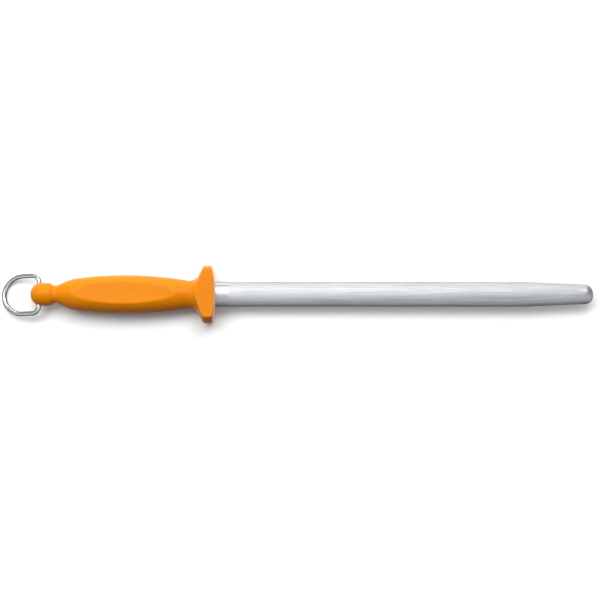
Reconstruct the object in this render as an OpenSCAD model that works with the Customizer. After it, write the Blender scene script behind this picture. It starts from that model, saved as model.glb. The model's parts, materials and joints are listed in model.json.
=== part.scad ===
// Knife sharpening steel: an oval steel rod whose tang is moulded into a plastic handle
// with a guard, and a wire hanging ring that swings in the knob at the handle's end.
//
// Frame: +X runs along the rod to its tip, +Y across its width and +Z up. The steel lies
// on the lower flats of its guard and grip, where Z is 0, and X is 0 halfway along the
// guard's rim. All sizes are in millimetres and all angles in degrees.

/* [Rod] */
// Length of the rod, from the guard's face to the tip
rod_len = 300; // [200:5:360]
// Width of the rod's oval section
rod_w = 20; // [16:0.5:24]
// Thickness of the rod's oval section
rod_t = 10; // [7:0.5:14]
// Length of the narrowing stretch at the tip
taper_len = 56; // [30:1:80]
// Width that the narrowing stretch reaches at the tip, before the tip is rounded
tip_w = 15.2; // [13:0.1:16]
// Thickness that the narrowing stretch reaches at the tip, before the tip is rounded
tip_t = 8; // [6:0.1:10]
// Radius of the tip's corners across the width
tip_round_w = 6; // [3:0.1:6.4]
// Radius of the tip's corners across the thickness
tip_round_t = 2.8; // [1:0.1:2.9]

/* [Tang] */
// Depth to which the full section of the rod is sunk into the guard
root_depth = 6; // [3:0.5:12]
// Length of the tang behind the rod's root
tang_len = 104; // [60:1:112]
// Width of the tang
tang_w = 12; // [9:0.5:14]
// Thickness of the tang
tang_t = 6; // [4:0.5:7]
// Number of notch pairs that lock the tang in the moulding
notch_pairs = 3; // [1:1:4]
// Radius of a notch
notch_r = 2; // [1:0.1:2.5]
// Distance between notches, and from the last one to the tang's end
notch_pitch = 24; // [8:1:24]

/* [Guard] */
// Radius of the guard's rim
rim_r = 23.1; // [21:0.1:30]
// Length of the rim between its two corners
rim_len = 7.2; // [5:0.1:9]
// Rounding of the rim's front corner
rim_front_round = 2.2; // [0.5:0.1:2.5]
// Rounding of the rim's back corner
rim_back_round = 2.9; // [0.5:0.1:3.5]
// Rise of the guard's domed face in front of the rim
face_rise = 2.2; // [0.5:0.1:4]
// Radius of the level part of the guard's face, before it is rounded into the dome
face_r = 11.5; // [10:0.1:14]
// Rounding between the level face and the dome
face_round = 60; // [10:1:80]

/* [Grip] */
// Thickness across the two flats of the grip and the guard
flats = 25.2; // [20:0.1:31]
// Length of the flare from the front neck to the rim
flare_len = 6.6; // [6:0.1:14]
// Radius of the front neck, before it is rounded
front_neck_r = 10.1; // [9.5:0.1:13]
// Rounding of the front neck
front_neck_round = 8; // [2:0.1:9]
// Distance from the front neck to the crest of the palm swell
front_slope = 48.3; // [36:0.1:60]
// Radius where the swell's two slopes meet, before they are rounded into each other
crest_r = 18.4; // [15:0.1:20]
// Rounding of the palm swell
crest_round = 297; // [100:1:400]
// Distance from the crest to the heel of the grip
back_slope = 49.7; // [40:0.1:65]
// Radius of the heel, before it is rounded
heel_r = 12.4; // [11:0.1:16]
// Rounding of the heel
heel_round = 35; // [10:1:60]
// Length of the heel's slope down to the butt neck
heel_len = 12; // [8:0.1:18]

/* [Knob] */
// Radius of the butt neck, before it is rounded
butt_neck_r = 7.1; // [5:0.1:8]
// Length of the butt neck
butt_neck_len = 2.7; // [1:0.1:6]
// Rounding of the butt neck
butt_neck_round = 2.6; // [0.5:0.1:4]
// Radius of the knob
knob_r = 9.1; // [8.2:0.1:12]
// Length of the knob's shoulder
shoulder_len = 2.5; // [1:0.1:5]
// Rounding of the knob's shoulder
shoulder_round = 2.5; // [0.5:0.1:4]
// Length of the knob from its end to its shoulder
knob_len = 15.6; // [13:0.1:24]
// Rounding of the knob's end
knob_round = 8.7; // [3:0.1:9]

/* [Hanging ring] */
// Diameter of the ring's wire
wire_d = 3.5; // [2:0.1:4.5]
// Distance from the knob's end to the bore that the ring swings in
bore_inset = 6.6; // [5:0.1:8]
// Distance from the bore's axis to the middle of the wire at the ring's far end
ring_reach = 31.4; // [27:0.1:45]
// Bend radius of the wire's two corners beside the knob, to the middle of the wire
corner_r = 5.8; // [4:0.1:9]
// Bend radius of the ring's far end, to the middle of the wire
bow_r = 13.5; // [10:0.1:15]
// Gap between the wire's two ends, inside the bore
wire_gap = 1; // [0.2:0.1:3]

/* [Fits] */
// Radial clearance of the wire in its bore
pin_clearance = 0.08; // [0.02:0.01:0.1]
// Gap between the knob's side and the bend of the wire
side_gap = 0.2; // [0.2:0.05:1]
// Gap all round between the steel and the handle moulded on it
socket_clearance = 0.03; // [0:0.01:0.1]

/* [Hidden] */

section_sides = 48; // sides of the rod's oval section
taper_steps = 3;    // rings of the narrowing stretch
tip_steps = 7;      // rings of the tip's rounding
arc_angle = 10;     // most that one side of a rounding turns
arc_side = 8;       // most that one side of a rounding is long
past = 1;           // how far a cut reaches past the surface that it opens

axis_z = flats / 2;
wire_r = wire_d / 2;

// Stations along X, worked backwards from the guard's rim.
face_x = rim_len / 2 + face_rise;
tip_x = face_x + rod_len;
root_x = face_x - root_depth;
front_neck_x = -rim_len / 2 - flare_len;
crest_x = front_neck_x - front_slope;
heel_x = crest_x - back_slope;
butt_neck_x = heel_x - heel_len;
knob_neck_x = butt_neck_x - butt_neck_len;
shoulder_x = knob_neck_x - shoulder_len;
butt_x = shoulder_x - knob_len;
bore_x = butt_x + bore_inset;

// The handle's outline as corners of [x, radius, rounding], from the butt to the face.
outline = [
    [butt_x, 0, 0],
    [butt_x, knob_r, knob_round],
    [shoulder_x, knob_r, shoulder_round],
    [knob_neck_x, butt_neck_r, butt_neck_round],
    [butt_neck_x, butt_neck_r, butt_neck_round],
    [heel_x, heel_r, heel_round],
    [crest_x, crest_r, crest_round],
    [front_neck_x, front_neck_r, front_neck_round],
    [-rim_len / 2, rim_r, rim_back_round],
    [rim_len / 2, rim_r, rim_front_round],
    [face_x, face_r, face_round],
    [face_x, 0, 0],
];

// The ring's plane: u runs out from the bore's axis and v along it. Each flank is an arc
// between its leg and the bow, whose centre lies 4 parts nearer the bore than the bow's
// centre and 3 parts across, so that the two arcs' radii differ by 5 parts and they meet
// without a kink.
leg_v = knob_r + side_gap + corner_r;
bow_u = ring_reach - bow_r;
part = (leg_v - bow_r) / 2;
flank_r = bow_r + 5 * part;
flank_u = bow_u - 4 * part;
flank_v = -3 * part;
flank_angle = atan2(4, 3);
// At rest the ring droops until its far end meets the surface that the steel lies on.
ring_droop = asin((axis_z - wire_r) / ring_reach);

// ---- Rounded outlines ----

// The side that leaves corner i.
function side(p, i) = [p[i + 1][0] - p[i][0], p[i + 1][1] - p[i][1]];

// The angle that the outline turns at corner i, to the left when positive.
function bend(p, i) =
    let (a = side(p, i - 1), b = side(p, i))
    atan2(a[0] * b[1] - a[1] * b[0], a * b);

// The length that corner i's rounding asks for on each of its two sides.
function asked(p, i) =
    i == 0 || i == len(p) - 1 ? 0 : p[i][2] * tan(abs(bend(p, i)) / 2);

// The share of that length which the side leaving corner i has room for.
function room(p, i) =
    let (sum = asked(p, i) + asked(p, i + 1))
    sum == 0 ? 1 : min(1, norm(side(p, i)) / sum);

// The points of corner i: an arc tangent to its two sides.
function rounded(p, i) =
    let (
        turn = bend(p, i),
        reach = asked(p, i) * min(room(p, i - 1), room(p, i)),
        r = reach / tan(abs(turn) / 2),
        ahead = side(p, i - 1) / norm(side(p, i - 1)),
        inward = sign(turn) * [-ahead[1], ahead[0]],
        start = [p[i][0], p[i][1]] - reach * ahead,
        steps = max(ceil(abs(turn) / arc_angle), ceil(r * abs(turn) * PI / 180 / arc_side))
    )
    [
        for (k = [0:steps])
        let (a = abs(turn) * k / steps)
        start + r * sin(a) * ahead + r * (1 - cos(a)) * inward
    ];

// The whole outline, with every corner between its two ends rounded.
function rounded_outline(p) = [
    [p[0][0], p[0][1]],
    for (i = [1:len(p) - 2]) each rounded(p, i),
    [p[len(p) - 1][0], p[len(p) - 1][1]],
];

// ---- Rod ----

// An oval of half width a and half thickness b.
function oval(a, b) = [
    for (k = [0:section_sides - 1])
    let (t = 360 * k / section_sides)
    [a * cos(t), b * sin(t)]
];

// The rod's narrowing stretch and rounded tip, as rings of [x, half width, half thickness].
tip_rings = [
    for (k = [0:taper_steps])
    let (
        s = k / taper_steps,
        last = (taper_len - tip_round_w) / taper_len
    )
    [
        tip_x - taper_len + s * last * taper_len,
        (rod_w + s * last * (tip_w - rod_w)) / 2,
        (rod_t + s * last * (tip_t - rod_t)) / 2,
    ],
    for (k = [1:tip_steps])
    let (
        a = 90 * k / tip_steps,
        s = (taper_len - tip_round_w * (1 - sin(a))) / taper_len
    )
    [
        tip_x - tip_round_w * (1 - sin(a)),
        (rod_w + s * (tip_w - rod_w)) / 2 - tip_round_w * (1 - cos(a)),
        (rod_t + s * (tip_t - rod_t)) / 2 - tip_round_t * (1 - cos(a)),
    ],
];

// A solid through a row of oval rings, closed at both ends.
module oval_loft(rings) {
    n = section_sides;
    last = len(rings) - 1;
    points = [for (g = rings) for (p = oval(g[1], g[2])) [g[0], p[0], p[1]]];
    sides = [
        for (j = [0:last - 1]) for (k = [0:n - 1])
        let (a = j * n + k, b = j * n + (k + 1) % n)
        each [[a, a + n, b], [b, a + n, b + n]]
    ];
    ends = [[for (k = [0:n - 1]) k], [for (k = [n - 1:-1:0]) last * n + k]];
    polyhedron(points, concat(sides, ends));
}

// The rod's full section from its root to the start of the taper, grown by a clearance.
module rod_root_and_shank(from_x, to_x, grow = 0) {
    translate([from_x, 0, axis_z]) rotate([90, 0, 90])
        linear_extrude(to_x - from_x) polygon(oval(rod_w / 2 + grow, rod_t / 2 + grow));
}

// The notched tang behind the rod's root, grown by a clearance. It reaches a little into
// the root, so that the two are one piece.
module tang(grow = 0) {
    end_x = root_x - tang_len;
    translate([0, 0, axis_z - tang_t / 2 - grow]) linear_extrude(tang_t + 2 * grow) difference() {
        translate([end_x - grow, -tang_w / 2 - grow])
            square([tang_len + past + grow, tang_w + 2 * grow]);
        for (k = [1:notch_pairs], edge = [-1, 1])
            translate([end_x + k * notch_pitch, edge * tang_w / 2])
                circle(notch_r - grow, $fn = 48);
    }
}

module steel_rod() {
    color("silver") union() {
        rod_root_and_shank(root_x, tip_x - taper_len);
        translate([0, 0, axis_z]) oval_loft(tip_rings);
        tang();
    }
}

// ---- Handle ----

module handle() {
    color("darkorange") difference() {
        intersection() {
            translate([0, 0, axis_z]) rotate([0, 90, 0]) rotate_extrude($fn = 96)
                polygon([for (p = rounded_outline(outline)) [p[1], p[0]]]);
            translate([butt_x - past, -rim_r - past, 0])
                cube([face_x - butt_x + 2 * past, 2 * (rim_r + past), flats]);
        }
        rod_root_and_shank(root_x - socket_clearance, face_x + past, socket_clearance);
        tang(socket_clearance);
        translate([bore_x, 0, axis_z]) rotate([90, 0, 0])
            cylinder(r = wire_r + pin_clearance, h = 2 * (knob_r + past), center = true, $fn = 64);
    }
}

// ---- Hanging ring ----

// A quarter of the ring's plane, from one angle to 90 degrees on.
module quarter(from, size) {
    rotate([0, 0, from]) translate([0, 0, -wire_d]) cube([size, size, 2 * wire_d]);
}

// Wire bent round the point [u, v] of the ring's plane, from one angle to another that is
// at most 90 degrees on. It is a full turn of wire, cut by the planes of the two angles.
module bent_wire(u, v, r, from, to) {
    translate([u, v, 0]) intersection() {
        rotate_extrude($fn = 96) translate([r, 0]) circle(wire_r, $fn = 48);
        quarter(from, r + wire_d);
        quarter(to - 90, r + wire_d);
    }
}

// Straight wire from the point [u, v] of the ring's plane, towards an angle.
module straight_wire(u, v, angle, length) {
    translate([u, v, 0]) rotate([0, 0, angle]) rotate([0, 90, 0])
        cylinder(r = wire_r, h = length, $fn = 48);
}

// One side of the ring, at positive v: half of the pin, a corner, a leg and a flank.
module ring_side() {
    pin_end = leg_v - corner_r;
    straight_wire(0, wire_gap / 2, 90, pin_end - wire_gap / 2);
    bent_wire(corner_r, pin_end, corner_r, 90, 180);
    straight_wire(corner_r, leg_v, 0, flank_u - corner_r);
    bent_wire(flank_u, flank_v, flank_r, 90 - flank_angle, 90);
}

module hanging_ring() {
    color("gainsboro") translate([bore_x, 0, axis_z]) rotate([0, -ring_droop, 0])
        mirror([1, 0, 0]) {
            ring_side();
            bent_wire(bow_u, 0, bow_r, flank_angle - 90, 90 - flank_angle);
            mirror([0, 1, 0]) ring_side();
        }
}

steel_rod();
handle();
hanging_ring();
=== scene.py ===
"""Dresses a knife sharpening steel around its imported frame.

An oval steel rod is moulded into a plastic handle with a guard, and a wire ring swings in
the knob at the handle's end. All sizes are in metres and all angles in radians unless a
name says degrees. +X runs along the rod to its tip, +Y across it and +Z up, and the steel
lies on the plane where Z is 0.
"""

import json
import logging
import math
from dataclasses import dataclass
from enum import Enum
from typing import Union

import bmesh
import bpy
import numpy as np
from mathutils import Matrix, Vector


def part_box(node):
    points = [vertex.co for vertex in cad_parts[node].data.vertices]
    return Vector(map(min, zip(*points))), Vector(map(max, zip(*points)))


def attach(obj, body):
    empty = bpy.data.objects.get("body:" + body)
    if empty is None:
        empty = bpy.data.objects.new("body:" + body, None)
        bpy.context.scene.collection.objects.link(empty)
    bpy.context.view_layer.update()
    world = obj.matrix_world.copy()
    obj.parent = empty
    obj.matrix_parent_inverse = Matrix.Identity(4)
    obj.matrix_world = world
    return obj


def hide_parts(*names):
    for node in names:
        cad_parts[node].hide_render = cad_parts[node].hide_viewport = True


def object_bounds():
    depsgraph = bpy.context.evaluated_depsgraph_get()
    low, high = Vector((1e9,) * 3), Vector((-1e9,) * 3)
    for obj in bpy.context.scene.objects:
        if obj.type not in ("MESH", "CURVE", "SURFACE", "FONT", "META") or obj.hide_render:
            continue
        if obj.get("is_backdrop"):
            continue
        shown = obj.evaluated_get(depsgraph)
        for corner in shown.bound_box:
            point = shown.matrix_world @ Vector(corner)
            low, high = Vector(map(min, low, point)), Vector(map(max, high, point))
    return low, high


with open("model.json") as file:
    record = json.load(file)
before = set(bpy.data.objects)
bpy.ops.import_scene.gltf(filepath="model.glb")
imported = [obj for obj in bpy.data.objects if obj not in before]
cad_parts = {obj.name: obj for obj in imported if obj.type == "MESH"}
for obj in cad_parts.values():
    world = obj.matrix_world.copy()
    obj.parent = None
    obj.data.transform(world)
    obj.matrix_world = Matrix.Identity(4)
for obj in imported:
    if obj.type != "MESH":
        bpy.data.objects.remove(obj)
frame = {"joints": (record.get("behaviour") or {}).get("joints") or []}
CAD_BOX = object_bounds()

LOG = logging.getLogger("sharpening_steel")
FULL_TURN = 2 * math.pi
QUARTER_TURN = math.pi / 2
X_AXIS = Vector((1, 0, 0))
Y_AXIS = Vector((0, 1, 0))
Z_AXIS = Vector((0, 0, 1))
ORIGIN = Vector((0, 0, 0))

Feed = Union[bpy.types.NodeSocket, float, tuple]


class Body(Enum):
    """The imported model's moving bodies."""

    STEEL = "steel"
    RING = "ring"


class Carve(Enum):
    """What one solid does to another where the two meet."""

    CUT = "DIFFERENCE"
    JOIN = "UNION"


# ---- Mesh tools ----


def mesh_object(name: str, bm: bmesh.types.BMesh) -> bpy.types.Object:
    """Turns a finished bmesh into an object at the origin.

    Args:
        name: The object's name.
        bm: The bmesh, which is freed.

    Returns:
        The new object.
    """
    mesh = bpy.data.meshes.new(name)
    bm.to_mesh(mesh)
    bm.free()
    made = bpy.data.objects.new(name, mesh)
    bpy.context.scene.collection.objects.link(made)
    return made


def close_up(bm: bmesh.types.BMesh, distance: float = 2e-6) -> None:
    """Merges doubled points and then turns every face outwards.

    Args:
        bm: The bmesh to close.
        distance: How near two points lie to be one.
    """
    bmesh.ops.remove_doubles(bm, verts=bm.verts, dist=distance)
    bmesh.ops.dissolve_degenerate(bm, edges=bm.edges, dist=distance / 2)
    bmesh.ops.recalc_face_normals(bm, faces=bm.faces)


def points_in(geom: list) -> list[bmesh.types.BMVert]:
    """Lists the points among what an operator made."""
    return [item for item in geom if isinstance(item, bmesh.types.BMVert)]


def edges_at(points: list[bmesh.types.BMVert]) -> list[bmesh.types.BMEdge]:
    """Lists the edges at some points, each once and in the same order every run."""
    return list(dict.fromkeys(edge for point in points for edge in point.link_edges))


def edges_between(geom: list, points: set) -> list[bmesh.types.BMEdge]:
    """Lists the edges, among what an operator made, that join two of the given points."""
    edges = [item for item in geom if isinstance(item, bmesh.types.BMEdge)]
    return [edge for edge in edges if all(point in points for point in edge.verts)]


def turn_fully(bm: bmesh.types.BMesh, axis: Vector, steps: int) -> None:
    """Turns a drawn outline once round an axis through the origin.

    Args:
        bm: The bmesh that holds the outline.
        axis: The axis.
        steps: The number of sides of the turned solid.
    """
    geom = bm.verts[:] + bm.edges[:]
    bmesh.ops.spin(
        bm, geom=geom, cent=ORIGIN, axis=axis, angle=FULL_TURN, steps=steps, use_merge=True
    )


def smooth_step(share: float) -> float:
    """Eases a share, held between 0 and 1, in and out."""
    held = min(1.0, max(0.0, share))
    return held * held * (3 - 2 * held)


def carve(body: bpy.types.Object, tool: bpy.types.Object, how: Carve) -> None:
    """Cuts one solid by another, or joins them, and removes the tool.

    Args:
        body: The solid that is kept.
        tool: The solid that is used up.
        how: Whether the tool is cut away or joined on.
    """
    modifier = body.modifiers.new("carve", "BOOLEAN")
    modifier.operation = how.value
    modifier.solver = "EXACT"
    modifier.object = tool
    graph = bpy.context.evaluated_depsgraph_get()
    carved = bpy.data.meshes.new_from_object(body.evaluated_get(graph))
    body.modifiers.clear()
    carved.name = body.name
    body.data = carved
    bpy.data.objects.remove(tool)


def shade_round(body: bpy.types.Object, sharp_degrees: float = 32) -> None:
    """Shades a solid smooth, apart from its sharp edges.

    Args:
        body: The solid.
        sharp_degrees: The least angle at which an edge stays sharp.
    """
    bm = bmesh.new()
    bm.from_mesh(body.data)
    close_up(bm)
    limit = math.radians(sharp_degrees)
    for edge in bm.edges:
        edge.smooth = edge.calc_face_angle(0) < limit
    for face in bm.faces:
        face.smooth = True
    bm.to_mesh(body.data)
    bm.free()


def install(piece: bpy.types.Object, body: Body, node: str) -> None:
    """Puts a finished piece on its body, in place of its CAD node.

    Args:
        piece: The finished piece.
        body: The body that it rides on.
        node: The CAD node that it stands for.
    """
    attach(piece, body.value)
    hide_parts(node)


class OutlinePen:
    """Draws an open outline in the XY plane of a bmesh, one run at a time."""

    def __init__(self, bm: bmesh.types.BMesh, start: Vector) -> None:
        """Puts the pen down.

        Args:
            bm: The bmesh to draw in.
            start: The outline's first point.
        """
        self.bm = bm
        self.point = bm.verts.new(start)

    def line_to(self, end: Vector, spacing: float) -> None:
        """Draws a straight run.

        Args:
            end: Where the run ends.
            spacing: The most that two of its points lie apart.
        """
        start = self.point.co.copy()
        count = math.ceil((end - start).length / spacing)
        for step in range(1, count + 1):
            run = bmesh.ops.extrude_vert_indiv(self.bm, verts=[self.point])
            self.point = run["verts"][0]
            self.point.co = start.lerp(end, step / count)

    def arc(self, centre: Vector, angle: float, steps: int) -> None:
        """Draws an arc.

        Args:
            centre: The arc's centre.
            angle: How far it turns, to the left when positive.
            steps: The number of its sides.
        """
        run = bmesh.ops.spin(
            self.bm, geom=[self.point], cent=centre, axis=Z_AXIS, angle=angle, steps=steps
        )
        self.point = points_in(run["geom_last"])[0]


@dataclass(frozen=True)
class Corner:
    """A corner of an outline, with the radius that rounds it."""

    x: float
    y: float
    rounding: float = 0.0

    @property
    def point(self) -> Vector:
        """The corner's place in the XY plane."""
        return Vector((self.x, self.y, 0))


def draw_rounded(
    bm: bmesh.types.BMesh, corners: list[Corner], spacing: float, turn_per_side: float
) -> None:
    """Draws an outline whose corners are arcs that touch both of their sides.

    Args:
        bm: The bmesh to draw in.
        corners: The outline's corners, from one end to the other.
        spacing: The most that two points of a run lie apart.
        turn_per_side: The most that one side of an arc turns.
    """
    pen = OutlinePen(bm, corners[0].point)
    for before, corner, after in zip(corners, corners[1:], corners[2:]):
        ahead = (corner.point - before.point).normalized()
        onward = (after.point - corner.point).normalized()
        turn = math.atan2(ahead.cross(onward).z, ahead.dot(onward))
        reach = corner.rounding * math.tan(abs(turn) / 2)
        start = corner.point - reach * ahead
        inward = math.copysign(1, turn) * Z_AXIS.cross(ahead)
        sides = max(
            math.ceil(abs(turn) / turn_per_side),
            math.ceil(corner.rounding * abs(turn) / spacing),
        )
        pen.line_to(start, spacing)
        pen.arc(start + corner.rounding * inward, turn, sides)
    pen.line_to(corners[-1].point, spacing)


# ---- Node tools ----


class Graph:
    """A node tree that is being built."""

    def __init__(self, tree: bpy.types.NodeTree) -> None:
        """Takes the tree to build in."""
        self.tree = tree

    def add(self, kind: str, **settings: object) -> bpy.types.Node:
        """Adds a node.

        Args:
            kind: The node's type name.
            **settings: The values of its properties.

        Returns:
            The node.
        """
        node = self.tree.nodes.new(kind)
        for name, value in settings.items():
            setattr(node, name, value)
        return node

    def put(self, socket: bpy.types.NodeSocket, feed: Feed) -> None:
        """Links a socket to a feed, or sets it to the feed's value.

        Args:
            socket: The input socket.
            feed: An output socket or a plain value.
        """
        if isinstance(feed, bpy.types.NodeSocket):
            self.tree.links.new(feed, socket)
        else:
            socket.default_value = feed

    def math(self, operation: str, *feeds: Feed) -> bpy.types.NodeSocket:
        """Adds a sum of one or more numbers and returns its result."""
        node = self.add("ShaderNodeMath", operation=operation)
        for socket, feed in zip(node.inputs, feeds):
            self.put(socket, feed)
        return node.outputs[0]

    def ramp(self, feed: Feed, low: float, high: float) -> bpy.types.NodeSocket:
        """Adds a mask that rises smoothly from 0 at low to 1 at high.

        Args:
            feed: The number that the mask follows.
            low: Where the mask is 0.
            high: Where the mask is 1.

        Returns:
            The mask.
        """
        node = self.add("ShaderNodeMapRange", interpolation_type="SMOOTHSTEP")
        self.put(node.inputs["Value"], feed)
        rising = low < high
        node.inputs["From Min"].default_value = min(low, high)
        node.inputs["From Max"].default_value = max(low, high)
        node.inputs["To Min"].default_value = 0 if rising else 1
        node.inputs["To Max"].default_value = 1 if rising else 0
        return node.outputs["Result"]

    def blend(self, mask: Feed, low: Feed, high: Feed) -> bpy.types.NodeSocket:
        """Adds a number that runs with a mask.

        Args:
            mask: The mask, from 0 to 1.
            low: The number where the mask is 0.
            high: The number where the mask is 1.

        Returns:
            The number.
        """
        return self._mix("FLOAT", mask, {2: low, 3: high}, 0)

    def tint(self, mask: Feed, low: Feed, high: Feed) -> bpy.types.NodeSocket:
        """Adds a colour that runs with a mask.

        Args:
            mask: The mask, from 0 to 1.
            low: The colour where the mask is 0.
            high: The colour where the mask is 1.

        Returns:
            The colour.
        """
        return self._mix("RGBA", mask, {6: low, 7: high}, 2)

    def _mix(self, kind: str, mask: Feed, feeds: dict, result: int) -> bpy.types.NodeSocket:
        """Adds a mix of one kind, with feeds by input number, and returns its result."""
        node = self.add("ShaderNodeMix", data_type=kind)
        for number, feed in {0: mask, **feeds}.items():
            self.put(node.inputs[number], feed)
        return node.outputs[result]

    def place(self) -> bpy.types.NodeSocket:
        """Adds the object's own coordinates."""
        return self.add("ShaderNodeTexCoord").outputs["Object"]

    def parts(self, vector: Feed) -> bpy.types.bpy_prop_collection:
        """Splits a vector into its outputs X, Y and Z."""
        node = self.add("ShaderNodeSeparateXYZ")
        self.put(node.inputs[0], vector)
        return node.outputs

    def stretch(self, vector: Feed, scale: tuple) -> bpy.types.NodeSocket:
        """Adds a copy of a vector with each of its parts scaled."""
        node = self.add("ShaderNodeMapping")
        self.put(node.inputs["Vector"], vector)
        node.inputs["Scale"].default_value = scale
        return node.outputs["Vector"]

    def noise(
        self, vector: Feed, scale: Feed, detail: float = 2, roughness: float = 0.5
    ) -> bpy.types.NodeSocket:
        """Adds a noise.

        Args:
            vector: Where it is read.
            scale: How many features it has in a metre.
            detail: How many finer layers it has.
            roughness: How strong the finer layers are.

        Returns:
            The noise's value, about 0.5 on average.
        """
        node = self.add("ShaderNodeTexNoise")
        self.put(node.inputs["Vector"], vector)
        self.put(node.inputs["Scale"], scale)
        node.inputs["Detail"].default_value = detail
        node.inputs["Roughness"].default_value = roughness
        return node.outputs["Fac"]

    def bump(self, height: Feed, strength: float, distance: float) -> bpy.types.NodeSocket:
        """Adds a bump and returns its normal.

        Args:
            height: The height that the bump follows, from 0 to 1.
            strength: How strongly it shows.
            distance: How high 1 stands.

        Returns:
            The bumped normal.
        """
        node = self.add("ShaderNodeBump")
        node.inputs["Strength"].default_value = strength
        node.inputs["Distance"].default_value = distance
        self.put(node.inputs["Height"], height)
        return node.outputs["Normal"]

    def group(
        self, group: bpy.types.NodeTree, output: str, **feeds: Feed
    ) -> bpy.types.NodeSocket:
        """Adds a shared effect.

        Args:
            group: The effect's node group.
            output: The output to return.
            **feeds: What goes into each of its inputs.

        Returns:
            The named output.
        """
        node = self.add("ShaderNodeGroup", node_tree=group)
        for name, feed in feeds.items():
            self.put(node.inputs[name], feed)
        return node.outputs[output]


def new_group(
    name: str, numbers: dict[str, float], output: str
) -> tuple[Graph, bpy.types.Node, bpy.types.NodeSocket]:
    """Starts a shared effect that reads a Vector and some numbers and puts out one number.

    Args:
        name: The group's name.
        numbers: Its number inputs, with the value each starts from.
        output: The name of its output.

    Returns:
        The group's graph, its input node and the socket that its output is fed by.
    """
    tree = bpy.data.node_groups.new(name, "ShaderNodeTree")
    tree.interface.new_socket(name="Vector", in_out="INPUT", socket_type="NodeSocketVector")
    for label, value in numbers.items():
        socket = tree.interface.new_socket(
            name=label, in_out="INPUT", socket_type="NodeSocketFloat"
        )
        socket.default_value = value
    tree.interface.new_socket(name=output, in_out="OUTPUT", socket_type="NodeSocketFloat")
    graph = Graph(tree)
    entry = graph.add("NodeGroupInput")
    leave = graph.add("NodeGroupOutput")
    return graph, entry, leave.inputs[output]


class Effects:
    """The effects that more than one finish uses, each a node group that is built once."""

    def __init__(self) -> None:
        """Builds the three effects."""
        self.handling = self._handling_marks()
        self.lines = self._lengthwise_lines()
        self.grain = self._surface_grain()

    @staticmethod
    def _handling_marks() -> bpy.types.NodeTree:
        """Builds the faint cloudy marks that hands and cloths leave."""
        graph, entry, leave = new_group("handling_marks", {"Scale": 60.0}, "Mask")
        cloud = graph.noise(entry.outputs["Vector"], entry.outputs["Scale"], 3, 0.55)
        patch = graph.ramp(cloud, 0.42, 0.68)
        finer = graph.math("MULTIPLY", entry.outputs["Scale"], 9.0)
        speckle = graph.noise(entry.outputs["Vector"], finer, 2, 0.6)
        graph.put(leave, graph.math("MULTIPLY", patch, speckle))
        return graph.tree

    @staticmethod
    def _lengthwise_lines() -> bpy.types.NodeTree:
        """Builds the fine lines that drawing and grinding leave along a metal."""
        graph, entry, leave = new_group("lengthwise_lines", {"Scale": 1.0}, "Mask")
        broad = graph.noise(entry.outputs["Vector"], entry.outputs["Scale"], 2, 0.6)
        finer = graph.math("MULTIPLY", entry.outputs["Scale"], 2.7)
        thin = graph.noise(entry.outputs["Vector"], finer, 3, 0.7)
        graph.put(leave, graph.math("MULTIPLY_ADD", thin, 0.5, graph.math("MULTIPLY", broad, 0.5)))
        return graph.tree

    @staticmethod
    def _surface_grain() -> bpy.types.NodeTree:
        """Builds a fine even grain with a slow unevenness under it."""
        numbers = {"Scale": 2500.0, "Unevenness": 0.4}
        graph, entry, leave = new_group("surface_grain", numbers, "Height")
        fine = graph.noise(entry.outputs["Vector"], entry.outputs["Scale"], 2, 0.6)
        slower = graph.math("MULTIPLY", entry.outputs["Scale"], 0.06)
        slow = graph.noise(entry.outputs["Vector"], slower, 1, 0.5)
        lifted = graph.math("MULTIPLY", slow, entry.outputs["Unevenness"])
        graph.put(leave, graph.math("ADD", fine, lifted))
        return graph.tree


def new_material(name: str) -> tuple[bpy.types.Material, Graph, bpy.types.Node]:
    """Starts a material.

    Args:
        name: The material's name.

    Returns:
        The material, its graph and its Principled shader.
    """
    material = bpy.data.materials.new(name)
    material.use_nodes = True
    material.node_tree.nodes.clear()
    graph = Graph(material.node_tree)
    shader = graph.add("ShaderNodeBsdfPrincipled")
    output = graph.add("ShaderNodeOutputMaterial")
    graph.put(output.inputs["Surface"], shader.outputs["BSDF"])
    return material, graph, shader


# ---- Finishes ----


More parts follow.
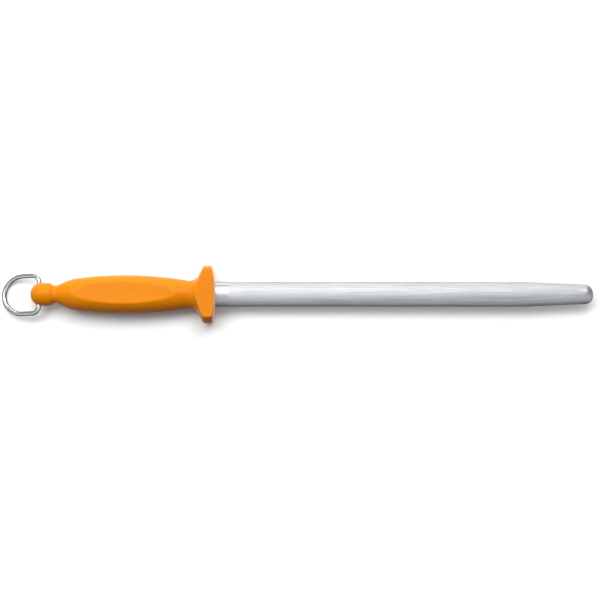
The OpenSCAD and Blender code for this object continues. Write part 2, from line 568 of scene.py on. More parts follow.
@dataclass(frozen=True)
class RodSteelFinish:
    """Satin steel with a fine lengthwise cut, polished at the rod's root and tip."""

    collar_end: float
    tip_start: float
    satin: tuple = (0.47, 0.475, 0.485, 1)
    shade: tuple = (0.31, 0.315, 0.325, 1)
    polished: tuple = (0.38, 0.38, 0.385, 1)
    satin_roughness: float = 0.48
    polished_roughness: float = 0.34
    fade: float = 0.0008
    line_length: float = 0.05
    line_width: float = 0.0005

    def material(self, effects: Effects) -> bpy.types.Material:
        """Builds the material from the shared effects."""
        material, graph, shader = new_material("rod_steel")
        place = graph.place()
        along = graph.parts(place)["X"]
        past_collar = graph.ramp(along, self.collar_end - self.fade, self.collar_end + self.fade)
        slow = 3 * self.fade
        before_tip = graph.ramp(along, self.tip_start + slow, self.tip_start - slow)
        satin = graph.math("MULTIPLY", past_collar, before_tip)

        across = 1 / self.line_width
        lines_at = graph.stretch(place, (1 / self.line_length, across, across))
        lines = graph.group(effects.lines, "Mask", Vector=lines_at, Scale=1.0)
        marks = graph.group(effects.handling, "Mask", Vector=place, Scale=55.0)
        cut = graph.tint(graph.ramp(lines, 0.36, 0.62), self.shade, self.satin)
        graph.put(shader.inputs["Base Color"], graph.tint(satin, self.polished, cut))

        plain = graph.blend(lines, self.satin_roughness - 0.08, self.satin_roughness + 0.08)
        roughness = graph.blend(satin, self.polished_roughness, plain)
        marked = graph.math("MULTIPLY_ADD", marks, 0.09, roughness)
        graph.put(shader.inputs["Roughness"], marked)

        height = graph.math("MULTIPLY", lines, graph.blend(satin, 0.04, 1.0))
        graph.put(shader.inputs["Normal"], graph.bump(height, 0.35, 0.00005))
        shader.inputs["Metallic"].default_value = 1.0
        return material


@dataclass(frozen=True)
class WireFinish:
    """Bright plated wire with faint drawing lines and handling marks, and a painted dark
    reflection along its outline, where the wire is seen edge-on.
    """

    bright: tuple = (0.60, 0.60, 0.60, 1)
    dull: tuple = (0.5, 0.5, 0.5, 1)
    # The rim colour is painted shade: a dark reflection painted along the wire's outline, where it
    # is seen edge-on.
    rim: tuple = (0.06, 0.06, 0.065, 1)
    roughness: float = 0.09
    marked_roughness: float = 0.3

    def material(self, effects: Effects) -> bpy.types.Material:
        """Builds the material from the shared effects."""
        material, graph, shader = new_material("ring_wire")
        place = graph.place()
        around = graph.add("ShaderNodeAttribute", attribute_name="around").outputs["Vector"]
        drift = graph.stretch(place, (6.0, 6.0, 6.0))
        lines_at = graph.add("ShaderNodeVectorMath", operation="ADD")
        graph.put(lines_at.inputs[0], around)
        graph.put(lines_at.inputs[1], drift)
        lines = graph.group(effects.lines, "Mask", Vector=lines_at.outputs[0], Scale=7.0)
        marks = graph.group(effects.handling, "Mask", Vector=place, Scale=240.0)
        worn = graph.ramp(marks, 0.1, 0.6)
        plate = graph.tint(worn, self.bright, self.dull)
        # Painted dark reflection: the plate colour turns to the dark rim colour where the wire is
        # seen edge-on.
        facing = graph.add("ShaderNodeLayerWeight").outputs["Facing"]
        painted_dark_edges = graph.tint(graph.ramp(facing, 0.18, 0.52), plate, self.rim)
        graph.put(shader.inputs["Base Color"], painted_dark_edges)
        drawn = graph.math("MULTIPLY_ADD", lines, 0.06, self.roughness - 0.03)
        rough = graph.math("MULTIPLY_ADD", worn, self.marked_roughness - self.roughness, drawn)
        graph.put(shader.inputs["Roughness"], rough)
        graph.put(shader.inputs["Normal"], graph.bump(lines, 0.2, 0.00002))
        shader.inputs["Metallic"].default_value = 1.0
        return material


@dataclass(frozen=True)
class PlasticFinish:
    """Semi-gloss moulded plastic with a fine grain, a parting line and softly worn edges, painted
    lighter partly as wear and partly as a painted highlight.
    """

    parting_z: float
    main: tuple = (0.73, 0.222, 0.0, 1)
    deep: tuple = (0.69, 0.196, 0.0, 1)
    # The worn colour is partly edge wear and partly a painted highlight along the flats' rounded
    # edges.
    worn: tuple = (0.78, 0.265, 0.006, 1)
    roughness: float = 0.25
    marked_roughness: float = 0.38
    specular_level: float = 0.10
    sheen: float = 0.9
    sheen_roughness: float = 0.25
    parting_width: float = 0.00025

    def material(self, effects: Effects) -> bpy.types.Material:
        """Builds the material from the shared effects."""
        material, graph, shader = new_material("handle_plastic")
        place = graph.place()
        height_off = graph.math("SUBTRACT", graph.parts(place)["Z"], self.parting_z)
        parting = graph.ramp(graph.math("ABSOLUTE", height_off), self.parting_width, 0.0)

        edge = graph.add("ShaderNodeAttribute", attribute_name="edge").outputs["Fac"]
        marks = graph.group(effects.handling, "Mask", Vector=place, Scale=45.0)
        flow = graph.noise(graph.stretch(place, (14.0, 60.0, 60.0)), 1.0, 2, 0.5)
        body = graph.tint(graph.ramp(flow, 0.3, 0.7), self.deep, self.main)
        # Edges painted lighter: partly wear, partly a painted highlight where the flats' rounded
        # edges catch the light.
        edge_wear_and_painted_highlight = graph.math("MULTIPLY", edge, 0.55)
        graph.put(shader.inputs["Base Color"], graph.tint(edge_wear_and_painted_highlight, body, self.worn))

        spread = self.marked_roughness - self.roughness
        hazy = graph.math("MULTIPLY_ADD", marks, spread, self.roughness)
        buffed = graph.math("MULTIPLY_ADD", edge, -0.08, hazy)
        graph.put(shader.inputs["Roughness"], buffed)

        grain = graph.group(effects.grain, "Height", Vector=place, Scale=2600.0, Unevenness=0.8)
        relief = graph.math("MULTIPLY_ADD", parting, 1.2, grain)
        graph.put(shader.inputs["Normal"], graph.bump(relief, 0.3, 0.00006))
        shader.inputs["Specular IOR Level"].default_value = self.specular_level
        shader.inputs["Sheen Weight"].default_value = self.sheen
        shader.inputs["Sheen Roughness"].default_value = self.sheen_roughness
        return material


# ---- Rod ----


@dataclass
class SteelRod:
    """The oval rod with its fine cut, its polished root and tip, and its notched tang."""

    axis_z: float
    face_x: float
    tip_x: float
    effects: Effects
    half_width: float = 0.010
    half_thickness: float = 0.005
    root_depth: float = 0.006
    collar_len: float = 0.0100
    taper_len: float = 0.056
    tip_half_width: float = 0.0076
    tip_half_thickness: float = 0.0040
    tip_round_width: float = 0.006
    tip_round_thickness: float = 0.0028
    tip_polish_len: float = 0.009
    ridges: int = 76
    ridge_points: int = 4
    ridge_depth: float = 0.00006
    cut_rise_len: float = 0.0012
    cut_fall_len: float = 0.004
    tang_len: float = 0.104
    tang_half_width: float = 0.006
    tang_thickness: float = 0.006
    notch_radius: float = 0.002
    notch_pitch: float = 0.024
    notch_pairs: int = 3

    @property
    def root_x(self) -> float:
        """Where the full section of the rod ends inside the guard."""
        return self.face_x - self.root_depth

    @property
    def collar_end(self) -> float:
        """Where the polished root ends and the cut starts."""
        return self.face_x + self.collar_len

    @property
    def tip_polish_start(self) -> float:
        """Where the cut ends and the polished tip starts."""
        return self.tip_x - self.tip_polish_len

    def _around(self) -> np.ndarray:
        """Finds the angles that space the section's points evenly along the oval."""
        fine = np.linspace(0, FULL_TURN, 4001)
        step = np.hypot(
            np.diff(self.half_width * np.cos(fine)), np.diff(self.half_thickness * np.sin(fine))
        )
        length = np.concatenate([[0], np.cumsum(step)])
        count = self.ridges * self.ridge_points
        return np.interp(np.arange(count) / count * length[-1], length, fine)

    def _taper(self, x: float) -> tuple[float, float]:
        """Finds the section at a station of the rod.

        Args:
            x: The station.

        Returns:
            The section's half width and half thickness, before the tip is rounded.
        """
        share = max(0.0, (x - self.tip_x + self.taper_len) / self.taper_len)
        width = self.half_width + share * (self.tip_half_width - self.half_width)
        thick = self.half_thickness + share * (self.tip_half_thickness - self.half_thickness)
        return width, thick

    def _cut_depth(self, x: float) -> float:
        """Finds how deep the fine cut is at a station, fading out towards both ends."""
        rise = (x - self.collar_end) / self.cut_rise_len
        fall = (self.tip_polish_start - x) / self.cut_fall_len
        return self.ridge_depth * smooth_step(min(rise, fall))

    def _stations(self) -> list[tuple[float, float, float]]:
        """Lists the rod's sections from its root to its tip.

        Returns:
            For each section its X, its half width and its half thickness.
        """
        collar = self.collar_end
        polish = self.tip_polish_start
        taper = self.tip_x - self.taper_len
        rounding = self.tip_x - self.tip_round_width
        plain = [self.root_x, self.face_x, collar]
        plain += [collar + self.cut_rise_len * k / 4 for k in range(1, 5)]
        plain += list(np.linspace(collar + 0.03, taper, 7))
        plain += list(np.linspace(taper, polish - self.cut_fall_len, 12)[1:])
        plain += list(np.linspace(polish - 0.75 * self.cut_fall_len, rounding, 7))
        found = [(x, *self._taper(x)) for x in plain]
        for angle in np.linspace(0, QUARTER_TURN, 17)[1:]:
            x = self.tip_x - self.tip_round_width * (1 - math.sin(angle))
            width, thick = self._taper(x)
            lost = 1 - math.cos(angle)
            width -= self.tip_round_width * lost
            thick -= self.tip_round_thickness * lost
            found.append((x, width, thick))
        return found

    def _set_section(
        self, verts: list[bmesh.types.BMVert], angles: np.ndarray, station: tuple
    ) -> None:
        """Moves a ring of points onto the section at a station.

        Args:
            verts: The ring's points, in order.
            angles: The oval's angle at each point.
            station: The section's X, half width and half thickness.
        """
        x, width, thick = station
        depth = self._cut_depth(x)
        for index, (vert, angle) in enumerate(zip(verts, angles)):
            phase = FULL_TURN * (index % self.ridge_points) / self.ridge_points
            sunk = depth * (1 - math.cos(phase)) / 2
            y = (width - sunk) * math.cos(angle)
            z = (thick - sunk) * math.sin(angle)
            vert.co = (x, y, self.axis_z + z)

    def _shank(self) -> bpy.types.Object:
        """Builds the rod from its root to its tip, one section after another."""
        bm = bmesh.new()
        angles = self._around()
        first = bmesh.ops.create_circle(bm, cap_ends=False, segments=len(angles), radius=1)
        ring = first["verts"]
        stations = self._stations()
        self._set_section(ring, angles, stations[0])
        edges = edges_at(ring)
        ends = [edges]
        order = {vert: index for index, vert in enumerate(ring)}
        for station in stations[1:]:
            grown = bmesh.ops.extrude_edge_only(bm, edges=edges)["geom"]
            fresh = {}
            for vert in points_in(grown):
                linked = (edge.other_vert(vert) for edge in vert.link_edges)
                fresh[vert] = order[next(other for other in linked if other in order)]
            order = fresh
            ring = sorted(order, key=order.get)
            self._set_section(ring, angles, station)
            edges = edges_between(grown, set(order))
        ends.append(edges)
        for loop in ends:
            bmesh.ops.edgeloop_fill(bm, edges=loop)
        close_up(bm)
        return mesh_object("honing_rod", bm)

    def tang(self, grow: float = 0.0) -> bpy.types.Object:
        """Builds the tang, which reaches a little into the rod's root.

        Args:
            grow: How far every side is moved out, for the socket round it.

        Returns:
            The tang's solid.
        """
        overlap = 0.001
        start = self.root_x + overlap
        end = self.root_x - self.tang_len - grow
        half = self.tang_half_width + grow
        radius = self.notch_radius - grow
        reach = math.sqrt(radius**2 - grow**2)
        sweep = 2 * math.asin(reach / radius)
        bm = bmesh.new()
        pen = OutlinePen(bm, Vector((start, half, 0)))
        first = pen.point
        tang_end = self.root_x - self.tang_len
        notches = [tang_end + k * self.notch_pitch for k in range(1, self.notch_pairs + 1)]
        for x in reversed(notches):
            pen.line_to(Vector((x + reach, half, 0)), 1)
            pen.arc(Vector((x, self.tang_half_width, 0)), -sweep, 24)
        pen.line_to(Vector((end, half, 0)), 1)
        pen.line_to(Vector((end, -half, 0)), 1)
        for x in notches:
            pen.line_to(Vector((x - reach, -half, 0)), 1)
            pen.arc(Vector((x, -self.tang_half_width, 0)), -sweep, 24)
        pen.line_to(Vector((start, -half, 0)), 1)
        bm.edges.new((pen.point, first))
        thickness = self.tang_thickness + 2 * grow
        plate = bmesh.ops.contextual_create(bm, geom=bm.edges)["faces"]
        raised = bmesh.ops.extrude_face_region(bm, geom=plate)["geom"]
        bmesh.ops.translate(bm, verts=points_in(raised), vec=(0, 0, thickness))
        bmesh.ops.translate(bm, verts=bm.verts, vec=(0, 0, self.axis_z - thickness / 2))
        close_up(bm)
        return mesh_object("tang", bm)

    def build(self) -> bpy.types.Object:
        """Builds and dresses the rod and returns it."""
        rod = self._shank()
        carve(rod, self.tang(), Carve.JOIN)
        shade_round(rod)
        finish = RodSteelFinish(collar_end=self.collar_end, tip_start=self.tip_polish_start)
        rod.data.materials.clear()
        rod.data.materials.append(finish.material(self.effects))
        install(rod, Body.STEEL, "steel_rod")
        return rod


# ---- Handle ----


@dataclass
class MouldedHandle:
    """The plastic moulding: a guard, a grip with two flats, and a bored knob."""

    axis_z: float
    face_x: float
    butt_x: float
    bore_x: float
    rod: SteelRod
    effects: Effects
    rim_radius: float = 0.0231
    rim_len: float = 0.0072
    rim_front_round: float = 0.0022
    rim_back_round: float = 0.0029
    face_rise: float = 0.0022
    face_radius: float = 0.0115
    face_round: float = 0.060
    flare_len: float = 0.0066
    front_neck_radius: float = 0.0101
    front_neck_round: float = 0.008
    front_slope: float = 0.0483
    crest_radius: float = 0.0184
    crest_round: float = 0.297
    back_slope: float = 0.0497
    heel_radius: float = 0.0124
    heel_round: float = 0.035
    heel_len: float = 0.012
    butt_neck_radius: float = 0.0071
    butt_neck_len: float = 0.0027
    butt_neck_round: float = 0.0026
    knob_radius: float = 0.0091
    shoulder_len: float = 0.0025
    shoulder_round: float = 0.0025
    knob_round: float = 0.0087
    bore_radius: float = 0.00183
    bore_flare: float = 0.0004
    socket_gap: float = 0.00003
    mouth_flare: float = 0.00025
    edge_softness: float = 0.0004
    side_columns: int = 22
    edge_columns: int = 8
    flat_columns: int = 10

    @property
    def flat_height(self) -> float:
        """How far each flat lies from the handle's axis."""
        return self.axis_z

    def outline(self) -> list[Corner]:
        """Lists the outline's corners, from the butt to the guard's face."""
        rim_front = self.face_x - self.face_rise
        rim_back = rim_front - self.rim_len
        front_neck = rim_back - self.flare_len
        crest = front_neck - self.front_slope
        heel = crest - self.back_slope
        butt_neck = heel - self.heel_len
        knob_neck = butt_neck - self.butt_neck_len
        shoulder = knob_neck - self.shoulder_len
        return [
            Corner(self.butt_x, 0),
            Corner(self.butt_x, self.knob_radius, self.knob_round),
            Corner(shoulder, self.knob_radius, self.shoulder_round),
            Corner(knob_neck, self.butt_neck_radius, self.butt_neck_round),
            Corner(butt_neck, self.butt_neck_radius, self.butt_neck_round),
            Corner(heel, self.heel_radius, self.heel_round),
            Corner(crest, self.crest_radius, self.crest_round),
            Corner(front_neck, self.front_neck_radius, self.front_neck_round),
            Corner(rim_back, self.rim_radius, self.rim_back_round),
            Corner(rim_front, self.rim_radius, self.rim_front_round),
            Corner(self.face_x, self.face_radius, self.face_round),
            Corner(self.face_x, 0),
        ]

    def _spaced(self, angle: float, radius: float) -> float:
        """Moves a column round the body, so that its neighbours follow the flats' edges.

        Args:
            angle: The column's angle from +Y, as spun.
            radius: The body's radius at the point.

        Returns:
            The column's new angle.
        """
        count = self.side_columns + self.edge_columns + self.flat_columns
        side_share = self.side_columns / count
        edge_share = (self.side_columns + self.edge_columns) / count
        low = min(1.0, (self.flat_height - self.edge_softness) / max(radius, 1e-9))
        high = min(1.0, (self.flat_height + self.edge_softness) / max(radius, 1e-9))
        low_angle = min(math.asin(low), QUARTER_TURN * 0.985)
        high_angle = min(math.asin(high), QUARTER_TURN * 0.993)
        below = (self.flat_height - self.edge_softness - radius) / 0.002
        even = smooth_step(below)
        low_angle += even * (side_share * QUARTER_TURN - low_angle)
        high_angle += even * (edge_share * QUARTER_TURN - high_angle)
        quarter, share = divmod(abs(angle) / QUARTER_TURN, 1)
        mirrored = quarter % 2 == 1
        if mirrored:
            share = 1 - share
        shares = [0, side_share, edge_share, 1]
        spaced = float(np.interp(share, shares, [0, low_angle, high_angle, QUARTER_TURN]))
        if mirrored:
            spaced = QUARTER_TURN - spaced
        return math.copysign(quarter * QUARTER_TURN + spaced, angle)

    def _press(self, vert: bmesh.types.BMVert, outward: Vector) -> float:
        """Presses one point of the turned body into the slab between the two flats.

        Near a flat's edge the point is eased inwards, which rounds the edge.

        Args:
            vert: The point, with the handle's axis along X.
            outward: The turned body's normal there.

        Returns:
            How much the point was eased, from 0 to about 1.
        """
        radius = math.hypot(vert.co.y, vert.co.z)
        if radius < 1e-7:
            return 0.0
        angle = self._spaced(math.atan2(vert.co.z, vert.co.y), radius)
        point = Vector((vert.co.x, radius * math.cos(angle), radius * math.sin(angle)))
        slope = math.hypot(outward.y, outward.z)
        normal = Vector((outward.x, slope * math.cos(angle), slope * math.sin(angle)))
        flat = Vector((0, 0, math.copysign(1, point.z)))
        above = abs(point.z) - self.flat_height
        if above > 0:
            point.z = math.copysign(self.flat_height, point.z)
        in_body = max(above, 0.0) * abs(normal.z)
        in_slab = max(-above, 0.0)
        soft = self.edge_softness
        eased = 0.0
        for _ in range(4):
            shared = soft - abs(in_body - in_slab)
            if shared <= 0:
                break
            depth = min(in_body, in_slab) - shared * shared / (4 * soft)
            share = 0.5 + (in_slab - in_body) / (2 * soft)
            lean = share * normal + (1 - share) * flat
            move = lean * (depth / lean.length_squared)
            point += move
            in_body -= move.dot(normal)
            in_slab -= move.dot(flat)
            eased += move.length
        vert.co = point
        return min(1.0, 4 * eased / soft)

    def _moulding(self) -> bpy.types.Object:
        """Builds the handle's outside: its outline turned about the axis, then pressed."""
        bm = bmesh.new()
        draw_rounded(bm, self.outline(), 0.0012, math.radians(6))
        columns = 4 * (self.side_columns + self.edge_columns + self.flat_columns)
        turn_fully(bm, X_AXIS, columns)
        close_up(bm)
        bm.normal_update()
        edge = bm.verts.layers.float.new("edge")
        normals = [vert.normal.copy() for vert in bm.verts]
        for vert, normal in zip(bm.verts, normals):
            vert[edge] = self._press(vert, normal)
        bmesh.ops.translate(bm, verts=bm.verts, vec=(0, 0, self.axis_z))
        close_up(bm)
        return mesh_object("moulded_handle", bm)

    def _bore(self) -> bpy.types.Object:
        """Builds the tool for the knob's cross bore, flared where it opens."""
        bm = bmesh.new()
        mouth = self.knob_radius
        flare = self.bore_flare
        wide = self.bore_radius + 3 * flare
        pen = OutlinePen(bm, Vector((0, -mouth - 2 * flare, 0)))
        pen.line_to(Vector((wide, -mouth - 2 * flare, 0)), 1)
        pen.line_to(Vector((self.bore_radius, -mouth + flare, 0)), 1)
        pen.line_to(Vector((self.bore_radius, mouth - flare, 0)), 1)
        pen.line_to(Vector((wide, mouth + 2 * flare, 0)), 1)
        pen.line_to(Vector((0, mouth + 2 * flare, 0)), 1)
        turn_fully(bm, Y_AXIS, 64)
        bmesh.ops.translate(bm, verts=bm.verts, vec=(self.bore_x, 0, self.axis_z))
        close_up(bm)
        return mesh_object("bore", bm)

    def _mouth(self) -> bpy.types.Object:
        """Builds the tool for the oval socket of the rod's root, flared at the face."""
        gap = self.socket_gap
        flare = self.mouth_flare
        stations = [
            (self.rod.root_x - gap, gap),
            (self.face_x - flare, gap),
            (self.face_x + flare, gap + 2 * flare),
        ]
        bm = bmesh.new()
        ring = bmesh.ops.create_circle(bm, cap_ends=False, segments=160, radius=1)["verts"]
        bmesh.ops.rotate(bm, verts=ring, cent=ORIGIN, matrix=Matrix.Rotation(QUARTER_TURN, 3, "Y"))
        width = self.rod.half_width
        thick = self.rod.half_thickness
        bmesh.ops.scale(bm, verts=ring, vec=(1, width + gap, thick + gap))
        bmesh.ops.translate(bm, verts=ring, vec=(stations[0][0], 0, 0))
        rim = bm.edges[:]
        rims = [rim]
        for (x, grow), (old_x, old_grow) in zip(stations[1:], stations):
            grown = bmesh.ops.extrude_edge_only(bm, edges=rim)["geom"]
            ring = points_in(grown)
            rim = edges_between(grown, set(ring))
            bmesh.ops.translate(bm, verts=ring, vec=(x - old_x, 0, 0))
            ratio = (1, (width + grow) / (width + old_grow), (thick + grow) / (thick + old_grow))
            bmesh.ops.scale(bm, verts=ring, vec=ratio)
        rims.append(rim)
        for loop in rims:
            bmesh.ops.edgeloop_fill(bm, edges=loop)
        bmesh.ops.translate(bm, verts=bm.verts, vec=(0, 0, self.axis_z))
        close_up(bm)
        return mesh_object("mouth", bm)

    def build(self) -> bpy.types.Object:
        """Builds and dresses the handle and returns it."""
        handle = self._moulding()
        carve(handle, self._bore(), Carve.CUT)
        socket = self._mouth()
        carve(socket, self.rod.tang(self.socket_gap), Carve.JOIN)
        carve(handle, socket, Carve.CUT)
        shade_round(handle)
        finish = PlasticFinish(parting_z=self.axis_z)
        handle.data.materials.clear()
        handle.data.materials.append(finish.material(self.effects))
        install(handle, Body.STEEL, "handle")
        return handle


# ---- Ring ----


class WireBender:
    """Forms a round wire in the XY plane, one straight or bend after another."""

    def __init__(self, bm: bmesh.types.BMesh, radius: float, sides: int, start: Vector) -> None:
        """Sets out the wire's first end, which faces along +Y.

        Args:
            bm: The bmesh to form the wire in.
            radius: The wire's radius.
            sides: The number of sides of its round section.
            start: The middle of its first end.
        """
        self.bm = bm
        self.at = start.copy()
        self.heading = Y_AXIS.copy()
        upright = Matrix.Rotation(QUARTER_TURN, 4, "X")
        around = bm.verts.layers.float_vector.new("around")
        made = bmesh.ops.create_circle(
            bm, cap_ends=False, segments=sides, radius=radius, matrix=upright
        )["verts"]
        for vert in made:
            vert[around] = vert.co / radius
        bmesh.ops.translate(bm, verts=made, vec=start)
        self.rim = edges_at(made)
        self.first_rim = self.rim

    def straight(self, length: float) -> None:
        """Feeds straight wire.

        Args:
            length: The straight's length.
        """
        grown = bmesh.ops.extrude_edge_only(self.bm, edges=self.rim)["geom"]
        fresh = points_in(grown)
        bmesh.ops.translate(self.bm, verts=fresh, vec=self.heading * length)
        self.rim = edges_between(grown, set(fresh))
        self.at += self.heading * length

    def bend(self, radius: float, angle: float) -> None:
        """Bends the wire.

        Args:
            radius: The bend's radius, to the middle of the wire.
            angle: How far it turns, to the left when positive.
        """
        side = math.copysign(1, angle) * Z_AXIS.cross(self.heading)
        centre = self.at + radius * side
        steps = max(4, math.ceil(abs(angle) / math.radians(4)))
        verts = list(dict.fromkeys(vert for edge in self.rim for vert in edge.verts))
        turned = bmesh.ops.spin(
            self.bm, geom=verts + self.rim, cent=centre, axis=Z_AXIS, angle=angle, steps=steps
        )["geom_last"]
        self.rim = edges_between(turned, set(points_in(turned)))
        turn = Matrix.Rotation(angle, 3, "Z")
        self.at = centre + turn @ (self.at - centre)
        self.heading = turn @ self.heading

    def cap(self, chamfer: float) -> None:
        """Closes both ends of the wire, with a small chamfer.

        Args:
            chamfer: The chamfer's width.
        """
        for rim in (self.first_rim, self.rim):
            bmesh.ops.edgeloop_fill(self.bm, edges=rim)
            bmesh.ops.bevel(
                self.bm,
                geom=rim,
                offset=chamfer,
                affect="EDGES",
                segments=2,
                profile=0.5,
                material=-1,
            )


@dataclass
class HangingRing:
    """The wire ring, whose two ends meet inside the knob's bore."""

    bore: Vector
    effects: Effects
    wire_radius: float = 0.00175
    pin_end: float = 0.0093
    corner_radius: float = 0.0058
    flank_x: float = 0.0147
    flank_radius: float = 0.0175
    bow_radius: float = 0.0135
    reach: float = 0.0314
    half_gap: float = 0.0005
    end_chamfer: float = 0.0002
    sides: int = 48

    def build(self) -> bpy.types.Object:
        """Builds and dresses the ring and returns it."""
        bm = bmesh.new()
        wire = WireBender(bm, self.wire_radius, self.sides, Vector((0, self.half_gap, 0)))
        leg = self.flank_x - self.corner_radius
        flank_angle = math.atan2(4, 3)
        bow_angle = 2 * (QUARTER_TURN - flank_angle)
        wire.straight(self.pin_end - self.half_gap)
        wire.bend(self.corner_radius, -QUARTER_TURN)
        wire.straight(leg)
        wire.bend(self.flank_radius, -flank_angle)
        wire.bend(self.bow_radius, -bow_angle)
        wire.bend(self.flank_radius, -flank_angle)
        wire.straight(leg)
        wire.bend(self.corner_radius, -QUARTER_TURN)
        wire.straight(self.pin_end - self.half_gap)
        wire.cap(self.end_chamfer)
        LOG.info("ring closes to within %.4f mm", 1000 * abs(wire.at.y + self.half_gap))
        droop = math.asin((self.bore.z - self.wire_radius) / self.reach)
        turned = Matrix.Rotation(math.pi - droop, 3, "Y")
        bmesh.ops.rotate(bm, verts=bm.verts, cent=ORIGIN, matrix=turned)
        bmesh.ops.translate(bm, verts=bm.verts, vec=self.bore)
        close_up(bm)
        ring = mesh_object("hanging_ring_wire", bm)
        shade_round(ring)
        ring.data.materials.append(WireFinish().material(self.effects))
        install(ring, Body.RING, "hanging_ring")
        return ring


# ---- Studio ----


@dataclass(frozen=True)
class Softbox:
    """A rectangular soft light that faces a point."""

    name: str
    place: Vector
    towards: Vector
    width: float
    height: float
    power: float

    def build(self) -> bpy.types.Object:
        """Makes the light and returns it."""
        light = bpy.data.lights.new(self.name, "AREA")
        light.shape = "RECTANGLE"
        light.size = self.width
        light.size_y = self.height
        light.energy = self.power
        lamp = bpy.data.objects.new(self.name, light)
        lamp.location = self.place
        lamp.rotation_mode = "QUATERNION"
        lamp.rotation_quaternion = (self.towards - self.place).to_track_quat("-Z", "Y")
        lamp.visible_camera = False
        bpy.context.scene.collection.objects.link(lamp)
        return lamp


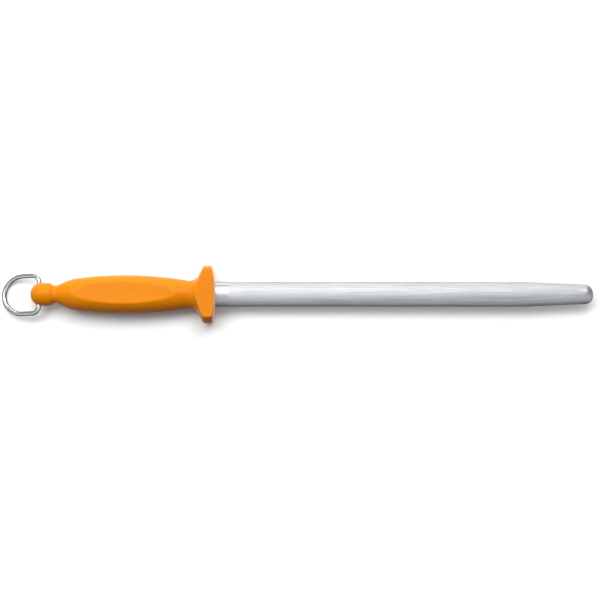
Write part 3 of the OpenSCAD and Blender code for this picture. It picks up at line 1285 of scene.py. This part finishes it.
@dataclass
class Studio:
    """The camera, the pale floor, the soft lights and the room around them."""

    axis_z: float
    aim_x: float = 0.0731
    aim_y: float = -0.0046
    elevation_degrees: float = 83.0
    lens_mm: float = 100.0
    sensor_mm: float = 36.0
    frame_width: float = 0.4767
    floor_size: float = 16.0
    floor_drop: float = 0.0001
    lit_bounce: tuple = (0.95, 0.95, 0.95, 1)
    shaded_bounce: tuple = (0.22, 0.22, 0.22, 1)
    bounce_turn: float = 0.02
    backdrop: float = 0.93
    key_watts: float = 14.8
    side_watts: float = 5.0

    def build_camera(self) -> bpy.types.Object:
        """Makes the camera, which looks almost straight down, and returns it."""
        aim = Vector((self.aim_x, self.aim_y, self.axis_z))
        tilt = math.radians(self.elevation_degrees)
        back = Vector((0, -math.cos(tilt), math.sin(tilt)))
        data = bpy.data.cameras.new("camera")
        data.lens = self.lens_mm
        data.sensor_width = self.sensor_mm
        data.clip_start = 0.05
        data.clip_end = 50
        camera = bpy.data.objects.new("camera", data)
        camera.location = aim + back * (self.frame_width * self.lens_mm / self.sensor_mm)
        camera.rotation_mode = "QUATERNION"
        camera.rotation_quaternion = (-back).to_track_quat("-Z", "Y")
        bpy.context.scene.collection.objects.link(camera)
        bpy.context.scene.camera = camera
        return camera

    def build_floor(self) -> bpy.types.Object:
        """Makes the floor just under the steel and returns it.

        It shows pale. What it throws back onto the steel is set apart from that: more on
        the side that the key light stands on, and less on the other.
        """
        bm = bmesh.new()
        bmesh.ops.create_grid(bm, x_segments=4, y_segments=4, size=self.floor_size / 2)
        bmesh.ops.translate(bm, verts=bm.verts, vec=(0, 0, -self.floor_drop))
        floor = mesh_object("floor", bm)
        material, graph, shader = new_material("studio_floor")
        place = graph.place()
        cloud = graph.noise(place, 8.0, 2, 0.5)
        pale = graph.tint(cloud, (0.985, 0.985, 0.985, 1), (1.0, 1.0, 1.0, 1))
        seen = graph.add("ShaderNodeLightPath").outputs["Is Camera Ray"]
        lit = graph.ramp(graph.parts(place)["Y"], 0.0, self.bounce_turn)
        bounce = graph.tint(lit, self.shaded_bounce, self.lit_bounce)
        graph.put(shader.inputs["Base Color"], graph.tint(seen, bounce, pale))
        shader.inputs["Roughness"].default_value = 0.9
        shader.inputs["Specular IOR Level"].default_value = 0.0
        floor.data.materials.append(material)
        floor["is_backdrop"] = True
        return floor

    def build_lights(self) -> None:
        """Makes the lights: a broad softbox over the steel's far side and a low one beside it."""
        aim = Vector((self.aim_x, 0, 0))
        away = Vector((-0.18, 0.47, 1.10))
        Softbox("key_light", aim + away, aim, 1.7, 0.56, self.key_watts).build()
        beside = Vector((-0.10, 1.20, 0.35))
        Softbox("side_light", aim + beside, aim, 1.6, 0.25, self.side_watts).build()

    def build_room(self) -> None:
        """Makes the room's light.

        It lights the steel and the floor mostly from behind, but is mirrored most brightly
        in front, so that the metal's near side keeps a sheen and the shadows stay deep.
        """
        world = bpy.data.worlds.new("room")
        world.use_nodes = True
        world.node_tree.nodes.clear()
        graph = Graph(world.node_tree)
        across = graph.parts(graph.add("ShaderNodeTexCoord").outputs["Generated"])["Y"]
        level = graph.blend(graph.ramp(across, -1.0, -0.3), 0.10, 0.30)
        level = graph.math("ADD", level, graph.blend(graph.ramp(across, -0.35, 0.15), 0.0, 0.40))
        front = graph.blend(graph.ramp(across, -1.0, -0.45), 0.30, 1.05)
        mirrored = graph.blend(graph.ramp(across, -0.12, 0.22), front, 0.35)
        path = graph.add("ShaderNodeLightPath")
        level = graph.blend(path.outputs["Is Glossy Ray"], level, mirrored)
        level = graph.math("ADD", level, graph.blend(graph.ramp(across, 0.65, 0.95), 0.0, 0.9))
        background = graph.add("ShaderNodeBackground")
        background.inputs["Color"].default_value = (0.95, 0.98, 1.0, 1)
        seen = graph.blend(path.outputs["Is Camera Ray"], level, self.backdrop)
        graph.put(background.inputs["Strength"], seen)
        output = graph.add("ShaderNodeOutputWorld")
        graph.put(output.inputs["Surface"], background.outputs[0])
        bpy.context.scene.world = world

    def build(self) -> None:
        """Builds the whole studio."""
        self.build_camera()
        self.build_floor()
        self.build_lights()
        self.build_room()
        bpy.context.scene.view_settings.view_transform = "Standard"


# ---- The whole steel ----


def write_sizes() -> None:
    """Logs the CAD model's box and the visual model's box."""
    boxes = {"cad": CAD_BOX, "visual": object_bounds()}
    plain = {name: [list(corner) for corner in box] for name, box in boxes.items()}
    for name, box in plain.items():
        LOG.info("%s box, mm: %s", name, [[round(1000 * v, 2) for v in corner] for corner in box])


def report(piece: bpy.types.Object) -> None:
    """Reports one finished piece.

    Args:
        piece: The piece.
    """
    mesh = piece.data
    mesh.calc_loop_triangles()
    bm = bmesh.new()
    bm.from_mesh(mesh)
    open_edges = sum(not edge.is_manifold for edge in bm.edges)
    volume = bm.calc_volume(signed=True) * 1e9
    bm.free()
    triangles = len(mesh.loop_triangles)
    measures = "%s: %d triangles, %d open edges, %.0f mm3"
    LOG.info(measures, piece.name, triangles, open_edges, volume)


def main() -> None:
    """Builds the studio and every piece, in order."""
    logging.basicConfig(level=logging.INFO, format="%(name)s: %(message)s")
    handle_low, handle_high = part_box("handle")
    rod_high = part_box("steel_rod")[1]
    bore = Vector(frame["joints"][0]["pos_m"])
    axis_z = handle_high.z / 2
    Studio(axis_z=axis_z).build()
    effects = Effects()
    rod = SteelRod(axis_z=axis_z, face_x=handle_high.x, tip_x=rod_high.x, effects=effects)
    handle = MouldedHandle(
        axis_z=axis_z,
        face_x=handle_high.x,
        butt_x=handle_low.x,
        bore_x=bore.x,
        rod=rod,
        effects=effects,
    )
    ring = HangingRing(bore=bore, effects=effects)
    for maker in (rod, handle, ring):
        report(maker.build())
    write_sizes()


if __name__ == "__main__":
    main()
